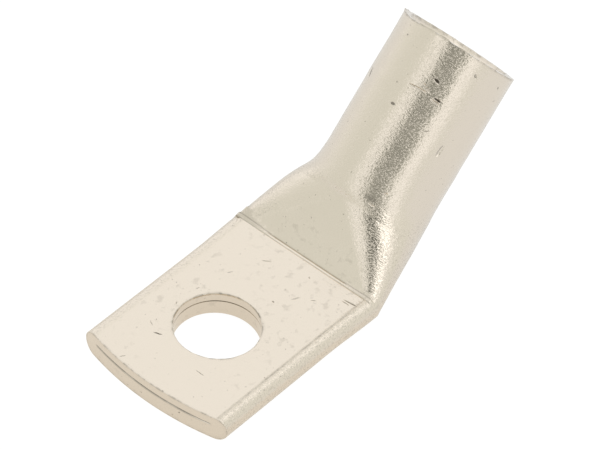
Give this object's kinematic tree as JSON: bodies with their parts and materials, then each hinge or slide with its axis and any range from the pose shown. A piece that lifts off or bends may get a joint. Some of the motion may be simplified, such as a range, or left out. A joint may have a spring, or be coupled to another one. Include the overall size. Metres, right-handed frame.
{
  "type": "tubular cable lug",
  "caption": "Tin-plated copper tube lug with a flat pierced palm, a flattened neck bent at 45 degrees and a round barrel that is crimped onto a stranded cable.",
  "frame": {"origin": "centre of the stud hole on the palm's underside", "axes": "+X from the palm towards the barrel, +Y across the palm, +Z square to the palm on the side the barrel rises to"},
  "size_m": [0.0745, 0.0276, 0.032],
  "materials": {
    "tinned_copper": "bright tin plate over copper, warm and slightly mottled"
  },
  "bodies": {
    "root": {"lug": "tinned_copper"}
  },
  "joints": []
}
